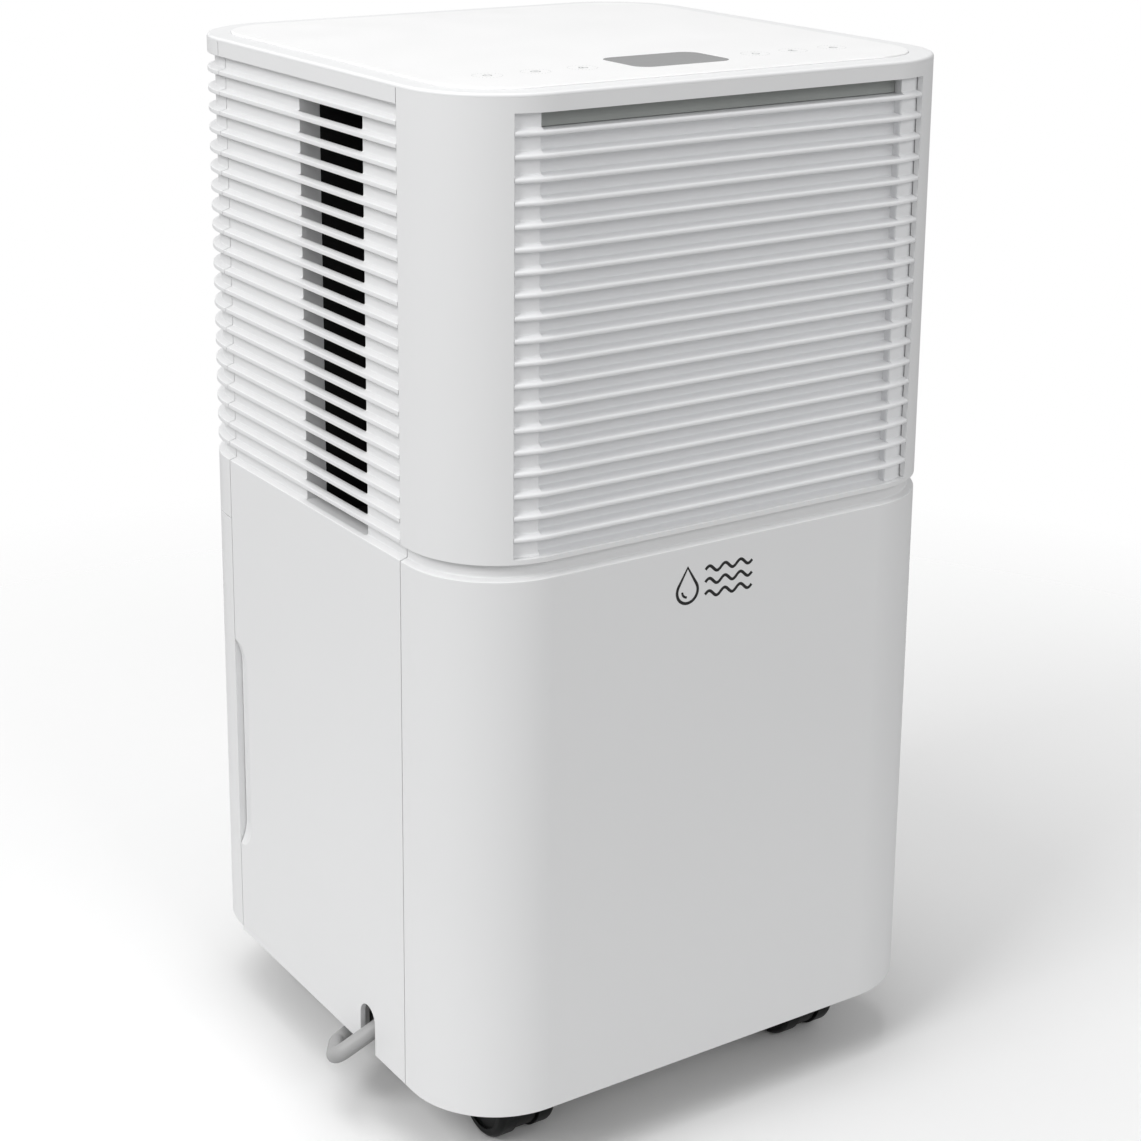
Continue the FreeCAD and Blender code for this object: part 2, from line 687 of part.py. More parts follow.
def make_castor_wheels(x, y, trail):
    """Two wheels on one axle: they turn together."""
    axle_y = y + trail * TRAIL
    near = FORK_HALF + WHEEL_SLOT
    pieces = [rod(AXLE_R, (x - near - 3, axle_y, WHEEL_R), X_AXIS, 2 * near + 6)]
    for side in (-1, 1):
        inner = x + side * near
        outer = inner + side * WHEEL_WIDTH
        wheel = rod(WHEEL_R, (inner, axle_y, WHEEL_R), X_AXIS * side, WHEEL_WIDTH)
        rim = [e for e in wheel.Edges
               if abs(e.BoundBox.XMin - outer) < 0.01 and e.BoundBox.XLength < 0.01]
        wheel = wheel.makeFillet(WHEEL_ROUND, rim)
        # Dished side with a round hub cap.
        dish = tube(WHEEL_R - 4.0, 6.0, (outer - side * 1.2, axle_y, WHEEL_R), X_AXIS * side, 3)
        pieces.append(wheel.cut(dish))
    return union(pieces)


# ---- Tank ----------------------------------------------------------------------------------
def make_tank_body():
    outer = rounded_box((-TANK_HALF, TANK_HALF), TANK_Y, TANK_Z, 12)
    w = TANK_WALL
    inner = rounded_box((-TANK_HALF + w, TANK_HALF - w), (TANK_Y[0] + w, TANK_Y[1] - w),
                        (TANK_Z[0] + w, TANK_Z[1] + 1), 10)
    return outer.cut(inner)


def make_tank_front():
    low = BOTTOM + 1.8
    high = REAR_SPLIT - SEAM
    shell = behind(ring(0, SKIN, low, high), REAR_SEAM_Y + SEAM)
    lip = behind(ring(SKIN, SKIN + 4, high - 2.2, high), REAR_SEAM_Y + SEAM + 6)
    pads = [box((x - 4, x + 4), (TANK_Y[1], HALF_D - SKIN), (80, 180)) for x in (-60, 60)]
    # Thicker edges beside the finger grips.
    start = REAR_SEAM_Y + SEAM
    edges = [box(span_from_skin(side, GRIP_BACK, SKIN - 0.1), (start, start + 2.5),
                 (GRIP_Z[0] - 4, GRIP_Z[1] + 4)) for side in (-1, 1)]
    return union([shell, lip] + pads + edges)


def hinge_lug(x, y, z, floor, half_t, hole):
    """Upright lug with a hinge hole along X."""
    lug = box((x - half_t, x + half_t), (y - 6, y + 6), sorted((floor, z)))
    lug = lug.fuse(rod(6, (x - half_t, y, z), X_AXIS, 2 * half_t))
    return lug.cut(rod(hole, (x - half_t - 1, y, z), X_AXIS, 2 * half_t + 2))


def make_tank_lid():
    low = TANK_Z[1]
    plate = rounded_box((-TANK_HALF, TANK_HALF), TANK_Y, (low, low + 2), 12)
    skirt = rounded_box((-TANK_HALF + 2.3, TANK_HALF - 2.3), (TANK_Y[0] + 2.3, TANK_Y[1] - 2.3),
                        (low - 5, low), 10)
    skirt = skirt.cut(rounded_box((-TANK_HALF + 4, TANK_HALF - 4),
                                  (TANK_Y[0] + 4, TANK_Y[1] - 4), (low - 6, low), 8.5))
    drip_hole = rounded_box((-22, 22), (84, 108), (low - 1, low + 3), 6)
    pour_hole = rounded_box((70, 98), (86, 108), (low - 1, low + 3), 5)
    lid = union([plate, skirt]).cut(drip_hole).cut(pour_hole)
    py, pz = HANDLE_PIVOT
    fy, fz = FLOAT_PIVOT
    lugs = []
    for side in (-1, 1):
        lugs.append(hinge_lug(side * (HANDLE_HALF + 8), py, pz, low + 1, 2.5,
                              HANDLE_PIN_R + RUNNING_GAP))
        lugs.append(hinge_lug(FLOAT_X + side * 12, fy, fz, low + 1, 2.0,
                              FLOAT_PIN_R + RUNNING_GAP))
    return union([lid] + lugs)


def make_tank_handle():
    """Bail that lies on the lid and swings up."""
    py, pz = HANDLE_PIVOT
    front = py - HANDLE_ARM
    half = HANDLE_HALF
    bail = pipe([(-half, py, pz), (-half, front, pz), (half, front, pz), (half, py, pz)],
                HANDLE_BAR_R, 10.0)
    pieces = [bail]
    for side in (-1, 1):
        pieces.append(rod(5.0, (side * (half - 4.5), py, pz), X_AXIS * side, 9.0))
        pieces.append(rod(HANDLE_PIN_R, (side * half, py, pz), X_AXIS * side, 10.5))
    return union(pieces)


def make_tank_float():
    fy, fz = FLOAT_PIVOT
    pin = rod(FLOAT_PIN_R, (FLOAT_X - 14, fy, fz), X_AXIS, 28)
    arm = box((FLOAT_X - 5, FLOAT_X + 5), (fy, fy + 26), (fz - 4, fz - 1))
    hub = rod(4.0, (FLOAT_X - 9, fy, fz), X_AXIS, 18)
    block = rounded_box((FLOAT_X - 20, FLOAT_X + 20), (fy + 16, fy + 44), (fz - 22, fz - 3), 6)
    pocket = rod(5.1, (FLOAT_X, fy + 34, fz - 7), Z_AXIS, 5)
    return union([pin, hub, arm, block]).cut(pocket)


def make_float_magnet():
    fy, fz = FLOAT_PIVOT
    return rod(5.0, (FLOAT_X, fy + 34, fz - 6.9), Z_AXIS, 3.6)


def make_tank_full_switch():
    """Reed sensor on the bay's ceiling, over the float's magnet."""
    fy = FLOAT_PIVOT[0]
    return rounded_box((FLOAT_X - 12, FLOAT_X + 12), (fy - 12, fy + 2), (DECK_Z - 5, DECK_Z), 2)


# ---- Inner frame ---------------------------------------------------------------------------
def make_bay_partition():
    """Wall between the compressor and the tank, folded back along both sides."""
    z = (PAN_FLOOR + PAN_WALL, DECK_Z)
    wall = box((-112.4, 112.4), (BAY_FRONT_Y, BAY_FRONT_Y + 2), z)
    wings = []
    for side in (-1, 1):
        x = sorted((side * 110.4, side * 112.4))
        wings.append(box(x, (BAY_FRONT_Y, 58), (62, DECK_Z)))
    return union([wall] + wings)


def make_mid_deck():
    deck = slab(6.2, DECK_Z, DECK_Z + DECK_T)
    holes = [rod(PIPE_R + 1.5, (x, y, DECK_Z - 1), Z_AXIS, 5) for x, y in RISER_SPOTS]
    holes.append(rod(10, (-70, -70, DECK_Z - 1), Z_AXIS, 5))
    holes.append(rod(8.0, (0, 96, DECK_Z - 1), Z_AXIS, 5))
    return deck.cut(Part.makeCompound(holes))


def make_drip_tray():
    """Sloped tray under the coils, with a drain spout over the tank's opening."""
    low = DECK_Z + DECK_T
    x = (-104, 104)
    y = (46, 111)
    outer = box(x, y, (low, low + 14))
    inner = box((x[0] + 2, x[1] - 2), (y[0] + 2, y[1] - 2), (low + 6, low + 15))
    wedge = Part.Face(Part.makePolygon([
        V(x[0] + 2, y[0] + 2, low + 6), V(x[0] + 2, y[1] - 2, low + 6),
        V(x[0] + 2, y[1] - 2, low + 2), V(x[0] + 2, y[0] + 2, low + 6),
    ])).extrude(V(x[1] - x[0] - 4, 0, 0))
    spout = rod(7.4, (0, 96, DECK_Z - 2.2), Z_AXIS, 6)
    tray = union([outer, spout]).cut(inner).cut(wedge)
    return tray.cut(rod(5.4, (0, 96, DECK_Z - 4), Z_AXIS, 14))


# ---- Refrigeration -------------------------------------------------------------------------
def coil_tube_heights():
    step = (COIL_Z[1] - COIL_Z[0]) / COIL_ROWS
    return [COIL_Z[0] + step * (i + 0.5) for i in range(COIL_ROWS)]


def make_fins(y):
    """Thin upright plates, threaded on the coil's tubes."""
    mid = (y[0] + y[1]) / 2
    holes = [rod(COIL_TUBE_R + RUNNING_GAP, (-COIL_HALF, mid, z), X_AXIS, 2 * COIL_HALF)
             for z in coil_tube_heights()]
    block = box((-COIL_HALF, COIL_HALF), y, COIL_Z).cut(Part.makeCompound(holes))
    count = int(2 * (COIL_HALF - 4) / FIN_PITCH) + 1
    start = -(count - 1) * FIN_PITCH / 2
    plates = [box((start + i * FIN_PITCH - FIN_T / 2, start + i * FIN_PITCH + FIN_T / 2), y, COIL_Z)
              for i in range(count)]
    return block.common(Part.makeCompound(plates))


def make_coil_tube(y):
    """One serpentine tube with return bends outside the fins."""
    mid = (y[0] + y[1]) / 2
    heights = coil_tube_heights()
    reach = COIL_HALF + 12
    points = [(reach + 2, mid, heights[0])]
    side = -1
    for low, high in zip(heights, heights[1:]):
        points.append((side * reach, mid, low))
        points.append((side * reach, mid, high))
        side = -side
    points.append((side * (reach + 2), mid, heights[-1]))
    return pipe(points, COIL_TUBE_R, 9.0)


def make_coil_brackets():
    """End plates that carry both coils."""
    y = (CONDENSER_Y[0] - 1, EVAPORATOR_Y[1] + 1)
    plates = []
    for side in (-1, 1):
        x = sorted((side * (COIL_HALF + 0.2), side * (COIL_HALF + 1.4)))
        plate = box(x, y, (COIL_Z[0], COIL_Z[1]))
        for span in (CONDENSER_Y, EVAPORATOR_Y):
            mid = sum(span) / 2
            for z in coil_tube_heights():
                plate = plate.cut(rod(COIL_TUBE_R + 0.3, (-120, mid, z), X_AXIS, 240))
        plates.append(plate)
    return Part.makeCompound(plates)


def make_coil_shroud():
    """Duct from the coils to the fan's inlet."""
    y = (13.0, CONDENSER_Y[0] - 1.2)
    z = (COIL_Z[0] - 2, COIL_Z[1] + 2)
    half = COIL_HALF + 2
    return box((-half, half), y, z).cut(
        box((-half + 1.6, half - 1.6), (y[0] - 1, y[1] + 1), (z[0] + 1.6, z[1] - 1.6)))


def foot_spots():
    """Compressor feet, clear of the castor wells."""
    return [(COMPRESSOR_X - 26, COMPRESSOR_Y - 52), (COMPRESSOR_X + 26, COMPRESSOR_Y - 52),
            (COMPRESSOR_X, COMPRESSOR_Y + 53)]


def make_compressor():
    low, high = COMPRESSOR_Z
    shell = rod(COMPRESSOR_R, (COMPRESSOR_X, COMPRESSOR_Y, low), Z_AXIS, high - low)
    shell = shell.makeFillet(16, [e for e in shell.Edges if e.BoundBox.ZLength < 0.01])
    waist = rod(COMPRESSOR_R + 1.5, (COMPRESSOR_X, COMPRESSOR_Y, low + 40), Z_AXIS, 6)
    seat = rod(30, (COMPRESSOR_X, COMPRESSOR_Y, low - 1), Z_AXIS, 8)
    accumulator = rod(14, (COMPRESSOR_X + 66, COMPRESSOR_Y + 14, low + 20), Z_AXIS, 90)
    accumulator = accumulator.makeFillet(
        6, [e for e in accumulator.Edges if e.BoundBox.ZLength < 0.01])
    strap = box((COMPRESSOR_X + 40, COMPRESSOR_X + 60),
                (COMPRESSOR_Y + 8, COMPRESSOR_Y + 14), (low + 60, low + 72))
    return union([shell, waist, seat, accumulator, strap])


def make_compressor_base():
    """Foot plate under the compressor, with three holes for its rubber feet."""
    plate = rod(34, (COMPRESSOR_X, COMPRESSOR_Y, COMPRESSOR_Z[0] - 4), Z_AXIS, 3)
    arms = []
    for x, y in foot_spots():
        arms.append(rod(11, (x, y, COMPRESSOR_Z[0] - 4), Z_AXIS, 3))
        along = V(x - COMPRESSOR_X, y - COMPRESSOR_Y, 0)
        arm = box((0, along.Length), (-9, 9), (COMPRESSOR_Z[0] - 4, COMPRESSOR_Z[0] - 1))
        arm.rotate(V(0, 0, 0), Z_AXIS, math.degrees(math.atan2(along.y, along.x)))
        arm.translate(V(COMPRESSOR_X, COMPRESSOR_Y, 0))
        arms.append(arm)
    plate = union([plate] + arms)
    holes = [rod(5, (x, y, 40), Z_AXIS, 30) for x, y in foot_spots()]
    return plate.cut(Part.makeCompound(holes))


def make_compressor_feet():
    low = PAN_FLOOR + FOOT_PAD
    high = COMPRESSOR_Z[0] - 4
    feet = []
    for x, y in foot_spots():
        foot = rod(9, (x, y, low), Z_AXIS, high - low).fuse(rod(4.8, (x, y, high), Z_AXIS, 4))
        feet.append(foot.removeSplitter())
    return Part.makeCompound(feet)


def make_terminal_cover():
    x, y = COMPRESSOR_X - 20, COMPRESSOR_Y
    return rounded_box((x - 16, x + 16), (y - 16, y + 16), (COMPRESSOR_Z[1], COMPRESSOR_Z[1] + 14), 6)


def make_discharge_pipe():
    """Hot gas line from the compressor's dome to the condenser."""
    x, y = RISER_SPOTS[0]
    top = COMPRESSOR_Z[1]
    z = coil_tube_heights()[0]
    mid = sum(CONDENSER_Y) / 2
    return pipe([(COMPRESSOR_X + 18, COMPRESSOR_Y, top), (COMPRESSOR_X + 18, COMPRESSOR_Y, top + 22),
                 (x, y, top + 22), (x, y, z), (x, mid, z), (COIL_HALF + 14.05, mid, z)],
                PIPE_R, 5.0)


def make_suction_pipe():
    """Cold gas line from the evaporator back to the accumulator."""
    x, y = RISER_SPOTS[1]
    ax, ay = COMPRESSOR_X + 66, COMPRESSOR_Y + 14
    top = COMPRESSOR_Z[0] + 110
    z = coil_tube_heights()[0]
    mid = sum(EVAPORATOR_Y) / 2
    return pipe([(ax, ay, top), (ax, ay, top + 26), (x, y, top + 26), (x, y, z),
                 (x, mid, z), (COIL_HALF + 14.05, mid, z)], PIPE_R, 5.0)


def make_capillary_tube():
    """Thin coiled tube that throttles the refrigerant."""
    helix = Part.makeHelix(5.0, 25.0, 12.0)
    section = Part.Wire([Part.makeCircle(1.3, V(12, 0, 0), Y_AXIS)])
    coil = Part.Wire(helix).makePipeShell([section], True, True)
    coil.translate(V(-103.8, 32, 290))
    return coil


# ---- Fan and electrics ---------------------------------------------------------------------
def scroll_outline(grow):
    """Plan of the volute: half circle on the closed side, open to the outlet."""
    r = VOLUTE_R - grow
    left = -HALF_W + RIB_WALL + OUTLET_COLLAR + 0.3
    place = lambda x, z: V(x, 0, z)
    steps = [
        [(FAN_X, FAN_Z - r)],
        [(FAN_X + r, FAN_Z), (FAN_X, FAN_Z + r)],
        [(left, FAN_Z + r)],
    ]
    return traced_face((left, FAN_Z - r), steps, place)


def make_scroll_housing():
    low, high = OUTLET_Y
    face = scroll_outline(0)
    face.translate(V(0, low - SCROLL_T, 0))
    body = face.extrude(V(0, high - low + 2 * SCROLL_T, 0))
    hollow = scroll_outline(SCROLL_T)
    hollow.translate(V(-1, low, 0))
    body = body.cut(hollow.extrude(V(0, high - low, 0)))
    body = body.cut(rod(FAN_R - 6, (FAN_X, high - 1, FAN_Z), Y_AXIS, SCROLL_T + 3))
    body = body.cut(rod(9, (FAN_X, low - SCROLL_T - 1, FAN_Z), Y_AXIS, SCROLL_T + 2))
    tongue = rod(8, (FAN_X - 84, low, FAN_Z - 62), Y_AXIS, high - low)
    return union([body, tongue])


def make_fan_wheel():
    low, high = FAN_Y
    centre = (FAN_X, low, FAN_Z)
    back = rod(FAN_R, centre, Y_AXIS, 2)
    hub = rod(11, centre, Y_AXIS, 22)
    rim = tube(FAN_R, FAN_R - 9, (FAN_X, high - 3, FAN_Z), Y_AXIS, 3)
    blade = tube(12, 10.8, (FAN_R - 8, low, 0), Y_AXIS, high - low)
    blade = blade.common(box((FAN_R - 10, FAN_R - 0.2), (low, high), (2, 20)))
    blades = []
    for i in range(30):
        piece = blade.copy()
        piece.rotate(V(0, 0, 0), Y_AXIS, i * 12)
        piece.translate(V(FAN_X, 0, FAN_Z))
        blades.append(piece)
    keep = tube(FAN_R, FAN_R - 9, (FAN_X, low, FAN_Z), Y_AXIS, high - low)
    blades = [piece.common(keep) for piece in blades]
    wheel = union([back, hub, rim] + blades)
    return wheel.cut(rod(SHAFT_R, (FAN_X, low - 1, FAN_Z), Y_AXIS, 30))


def make_fan_shaft():
    return rod(SHAFT_R, (FAN_X, MOTOR_Y[0] + 10, FAN_Z), Y_AXIS, FAN_Y[0] + 20 - MOTOR_Y[0] - 10)


def make_fan_motor():
    low, high = MOTOR_Y
    body = rod(MOTOR_R, (FAN_X, low, FAN_Z), Y_AXIS, high - low)
    body = body.makeFillet(6, [e for e in body.Edges if e.BoundBox.YLength < 0.01])
    return body.cut(rod(SHAFT_R + RUNNING_GAP, (FAN_X, low + 9.5, FAN_Z), Y_AXIS, high - low))


def make_motor_bracket():
    """Three-armed plate that hangs the motor on the scroll."""
    y = (MOTOR_Y[1], OUTLET_Y[0] - SCROLL_T)
    disc = rod(20, (FAN_X, y[0], FAN_Z), Y_AXIS, y[1] - y[0])
    arms = []
    for turn in (90, 210, 330):
        arm = box((0, 60), y, (-6, 6))
        arm.rotate(V(0, 0, 0), Y_AXIS, -turn)
        arm.translate(V(FAN_X, 0, FAN_Z))
        arms.append(arm)
    plate = union([disc] + arms)
    return plate.cut(rod(9, (FAN_X, y[0] - 1, FAN_Z), Y_AXIS, 8))


def make_main_board():
    board = box((-55, 55), (-108.5, -106.9), (250, 306))
    parts = [
        box((-45, -21), (-106.9, -94), (262, 286)),
        box((-10, 8), (-106.9, -97), (258, 276)),
        rod(6, (24, -106.9, 270), Y_AXIS, 11),
        rod(6, (40, -106.9, 270), Y_AXIS, 11),
        box((12, 46), (-106.9, -99), (286, 298)),
    ]
    return union([board] + parts)


def make_run_capacitor():
    low = DECK_Z + DECK_T
    return rod(14, (84, -84, low), Z_AXIS, 52).fuse(rod(4, (84, -84, low + 52), Z_AXIS, 6))


def make_cable_grommet():
    """Strain relief on the base pan, behind the casing's cable notch."""
    x, y, z = CABLE_ENTRY
    outer = rod(z - PAN_FLOOR - PAN_WALL, (x - 7, y, z), X_AXIS, 5)
    return outer.cut(rod(CABLE_R + RUNNING_GAP, (x - 8, y, z), X_AXIS, 7))


def make_power_cable():
    """Mains cable: out of the notch, down in a loop and back under the base."""
    x, y, z = CABLE_ENTRY
    points = [
        CABLE_ENTRY,
        (x - 10, y, z),
        (-HALF_W - 14, y + 7, z - 14),
        (-HALF_W - 3, CLIP_Y - 12, CABLE_RUN_Z),
        (-HALF_W + 21, CLIP_Y, CABLE_RUN_Z),
        (-HALF_W + 66, CLIP_Y, CABLE_RUN_Z),
    ]
    return pipe(points, CABLE_R, 6.0)


def make_cable_clip():
    """Clip under the base that holds the cable's run and snaps through the pan's floor."""
    seat = PAN_FLOOR + PAN_WALL + 0.1
    y = (CLIP_Y - CLIP_HALF, CLIP_Y + CLIP_HALF)
    length = CLIP_X[1] - CLIP_X[0]
    block = box(CLIP_X, y, (CABLE_RUN_Z, seat))
    loop = rod(CLIP_HALF, (CLIP_X[0], CLIP_Y, CABLE_RUN_Z), X_AXIS, length)
    head = box((CLIP_X[0] - 1.5, CLIP_X[1] + 1.5), y, (seat, seat + 1.4))
    hole = rod(CABLE_R + RUNNING_GAP, (CLIP_X[0] - 1, CLIP_Y, CABLE_RUN_Z), X_AXIS, length + 2)
    return union([block, loop, head]).cut(hole)


def screw_spots():
    """Screws along both sides of the base."""
    return [(x, y) for x in (-SCREW_X, SCREW_X) for y in SCREW_YS]


def make_casing_screws():
    """Recessed screws that close the base, heads down."""
    screws = []
    head_top = SCREW_SEAT - 0.1
    for x, y in screw_spots():
        head = rod(SCREW_HEAD_R, (x, y, PAN_FLOOR + 0.2), Z_AXIS, head_top - PAN_FLOOR - 0.2)
        shank = rod(SCREW_SHANK_R, (x, y, head_top), Z_AXIS, 5.0)
        screws.append(union([head, shank]))
    return Part.makeCompound(screws)


# ---- Assembly ------------------------------------------------------------------------------
def make_nodes():
    nodes = {
        "top_cover": make_top_cover(),
        "touch_panel": make_touch_panel(),
        "display_window": make_display_window(),
        "display_board": make_display_board(),
        "touch_springs": make_touch_springs(),
        "front_shell": make_front_shell(),
        "front_grille": make_front_grille(),
        "status_light_lens": make_status_light_lens(),
        "status_light_board": make_status_light_board(),
        "left_side_panel": make_side_panel(-1, True),
        "right_side_panel": make_side_panel(1, False),
        "front_lower_panel": make_front_lower_panel(),
        "rear_panel": make_rear_panel(),
        "filter_cover": make_filter_cover(),
        "filter_frame": make_filter_frame(),
        "filter_mesh": make_filter_mesh(),
        "base_pan": make_base_pan(),
        "casing_screws": make_casing_screws(),
        "tank_body": make_tank_body(),
        "tank_front": make_tank_front(),
        "tank_lid": make_tank_lid(),
        "tank_handle": make_tank_handle(),
        "tank_float": make_tank_float(),
        "float_magnet": make_float_magnet(),
        "tank_full_switch": make_tank_full_switch(),
        "bay_partition": make_bay_partition(),
        "mid_deck": make_mid_deck(),
        "drip_tray": make_drip_tray(),
        "evaporator_fins": make_fins(EVAPORATOR_Y),
        "evaporator_tube": make_coil_tube(EVAPORATOR_Y),
        "condenser_fins": make_fins(CONDENSER_Y),
        "condenser_tube": make_coil_tube(CONDENSER_Y),
        "coil_brackets": make_coil_brackets(),
        "coil_shroud": make_coil_shroud(),
        "compressor": make_compressor(),
        "compressor_base": make_compressor_base(),
        "compressor_feet": make_compressor_feet(),
        "terminal_cover": make_terminal_cover(),
        "discharge_pipe": make_discharge_pipe(),
        "suction_pipe": make_suction_pipe(),
        "capillary_tube": make_capillary_tube(),
        "fan_scroll_housing": make_scroll_housing(),
        "fan_wheel": make_fan_wheel(),
        "fan_shaft": make_fan_shaft(),
        "fan_motor": make_fan_motor(),
        "motor_bracket": make_motor_bracket(),
        "main_board": make_main_board(),
        "run_capacitor": make_run_capacitor(),
        "cable_grommet": make_cable_grommet(),
        "power_cable": make_power_cable(),
        "cable_clip": make_cable_clip(),
    }
    for name, x, y, trail in castor_spots():
        nodes["castor_housing_" + name] = make_castor_housing(x, y, trail)
        nodes["castor_wheels_" + name] = make_castor_wheels(x, y, trail)
    return nodes


os.makedirs("parts", exist_ok=True)
for node_name, node_shape in make_nodes().items():
    node_shape.exportStep("parts/" + node_name + ".step")
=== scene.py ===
"""Looks of the dehumidifier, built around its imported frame. Metres; the front faces -Y."""
import json
import math

import bmesh
import bpy
from mathutils import Matrix, Vector


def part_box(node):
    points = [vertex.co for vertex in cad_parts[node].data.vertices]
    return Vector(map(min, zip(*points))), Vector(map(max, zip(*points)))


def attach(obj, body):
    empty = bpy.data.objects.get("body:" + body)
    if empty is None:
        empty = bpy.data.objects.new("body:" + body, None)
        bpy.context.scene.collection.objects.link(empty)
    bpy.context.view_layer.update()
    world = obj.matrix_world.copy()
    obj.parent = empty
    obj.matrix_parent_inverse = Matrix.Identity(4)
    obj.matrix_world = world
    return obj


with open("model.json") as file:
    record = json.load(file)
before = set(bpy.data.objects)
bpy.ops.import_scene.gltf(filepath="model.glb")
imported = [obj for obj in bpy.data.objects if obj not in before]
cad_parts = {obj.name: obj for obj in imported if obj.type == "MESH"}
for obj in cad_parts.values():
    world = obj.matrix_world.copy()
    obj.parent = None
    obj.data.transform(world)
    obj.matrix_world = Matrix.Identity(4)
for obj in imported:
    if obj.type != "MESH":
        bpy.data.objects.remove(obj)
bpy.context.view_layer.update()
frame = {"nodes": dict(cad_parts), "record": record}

# ---- Named sizes, worked out from the frame --------------------------------------------------
MM = 0.001
FRONT_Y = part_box("front_lower_panel")[0].y
TOP_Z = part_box("touch_panel")[1].z


# ---- Node helpers ------------------------------------------------------------------------------
def new_material(name):
    material = bpy.data.materials.new(name)
    material.use_nodes = True
    tree = material.node_tree
    return material, tree, tree.nodes["Principled BSDF"]


def object_coordinates(tree):
    return tree.nodes.new("ShaderNodeTexCoord").outputs["Object"]


def noise(tree, coordinates, scale, detail=2.0, roughness=0.5):
    node = tree.nodes.new("ShaderNodeTexNoise")
    node.inputs["Scale"].default_value = scale
    node.inputs["Detail"].default_value = detail
    node.inputs["Roughness"].default_value = roughness
    tree.links.new(coordinates, node.inputs["Vector"])
    return node.outputs["Fac"]


def remap(tree, value, from_low, from_high, to_low, to_high):
    node = tree.nodes.new("ShaderNodeMapRange")
    tree.links.new(value, node.inputs["Value"])
    node.inputs["From Min"].default_value = from_low
    node.inputs["From Max"].default_value = from_high
    node.inputs["To Min"].default_value = to_low
    node.inputs["To Max"].default_value = to_high
    return node.outputs["Result"]


def mixed(tree, factor, first, second):
    """Colour mix; each side is a colour or a socket."""
    node = tree.nodes.new("ShaderNodeMix")
    node.data_type = "RGBA"
    tree.links.new(factor, node.inputs["Factor"])
    for name, value in (("A", first), ("B", second)):
        socket = [s for s in node.inputs if s.name == name and s.type == "RGBA"][0]
        if isinstance(value, bpy.types.NodeSocket):
            tree.links.new(value, socket)
        else:
            socket.default_value = (*value, 1.0)
    return [s for s in node.outputs if s.type == "RGBA"][0]


BEVEL_SAMPLES = 4


def bevelled_normal(tree, radius):
    node = tree.nodes.new("ShaderNodeBevel")
    node.samples = BEVEL_SAMPLES
    node.inputs["Radius"].default_value = radius
    return node.outputs["Normal"]


def bump(tree, height, distance, strength=1.0, normal=None):
    node = tree.nodes.new("ShaderNodeBump")
    node.inputs["Strength"].default_value = strength
    node.inputs["Distance"].default_value = distance
    tree.links.new(height, node.inputs["Height"])
    if normal is not None:
        tree.links.new(normal, node.inputs["Normal"])
    return node.outputs["Normal"]


FULL_EDGE = 0.8                   # cosine of the turn at which a surface counts as an edge


def edge_mask(tree, rounded):
    """1 where the surface turns and 0 on open faces, from an already bevelled normal."""
    geometry = tree.nodes.new("ShaderNodeNewGeometry")
    dot = tree.nodes.new("ShaderNodeVectorMath")
    dot.operation = "DOT_PRODUCT"
    tree.links.new(rounded, dot.inputs[0])
    tree.links.new(geometry.outputs["Normal"], dot.inputs[1])
    return remap(tree, dot.outputs["Value"], 1.0, FULL_EDGE, 0.0, 1.0)


# ---- Materials ---------------------------------------------------------------------------------
CLOUD_SCALE = 9.0                 # broad mottling of moulded plastic, per metre
STREAK_SCALE = 40.0               # patches of more and less polish
POLISH_SPREAD = 0.03
GRAIN_STRENGTH = 0.6


def edge_highlight_colour(colour):
    """The slightly lighter colour painted on a moulding's edges as a highlight."""
    return tuple(min(1.0, c * 1.04 + 0.005) for c in colour)


def moulded_plastic(name, colour, roughness, grain=2600.0, depth=0.01 * MM, edge=0.3 * MM,
                    specular=0.45, mottling=0.008):
    """Injection-moulded plastic: fine spark texture, faint mottling, a lighter colour painted on
    edges as a highlight.
    """
    material, tree, shader = new_material(name)
    here = object_coordinates(tree)
    dark = tuple(c * (1 - mottling) for c in colour)
    cloud = remap(tree, noise(tree, here, CLOUD_SCALE, 3.0), 0.35, 0.65, 0.0, 1.0)
    base = mixed(tree, cloud, dark, colour)
    rounded = bevelled_normal(tree, edge)
    # Painted highlight: the colour turns lighter where the surface turns at an edge.
    tree.links.new(mixed(tree, edge_mask(tree, rounded), base, edge_highlight_colour(colour)),
                   shader.inputs["Base Color"])
    streaks = noise(tree, here, STREAK_SCALE, 4.0)
    dull, bright = roughness + POLISH_SPREAD, roughness - POLISH_SPREAD
    tree.links.new(remap(tree, streaks, 0.3, 0.7, bright, dull), shader.inputs["Roughness"])
    shader.inputs["Specular IOR Level"].default_value = specular
    normal = rounded
    if depth > 0:
        spark = noise(tree, here, grain, 2.0, 0.6)
        normal = bump(tree, spark, depth, GRAIN_STRENGTH, rounded)
    tree.links.new(normal, shader.inputs["Normal"])
    return material


DRAWN_SCALE = 300.0               # drawn lines of metal, per metre across them
DULL_SCALE = 30.0                 # duller patches


def metal(name, colour, roughness, stretch=(1, 1, 30)):
    """Metal with fine drawn lines and duller patches."""
    material, tree, shader = new_material(name)
    here = object_coordinates(tree)
    mapping = tree.nodes.new("ShaderNodeMapping")
    mapping.inputs["Scale"].default_value = stretch
    tree.links.new(here, mapping.inputs["Vector"])
    lines = noise(tree, mapping.outputs["Vector"], DRAWN_SCALE, 3.0)
    patches = noise(tree, here, DULL_SCALE, 3.0)
    dull = tuple(c * 0.8 for c in colour)
    tree.links.new(mixed(tree, remap(tree, patches, 0.35, 0.7, 0, 1), colour, dull),
                   shader.inputs["Base Color"])
    shader.inputs["Metallic"].default_value = 1.0
    tree.links.new(remap(tree, lines, 0.3, 0.7, roughness - 0.06, roughness + 0.1),
                   shader.inputs["Roughness"])
    tree.links.new(bump(tree, lines, 0.02 * MM, 0.4), shader.inputs["Normal"])
    return material


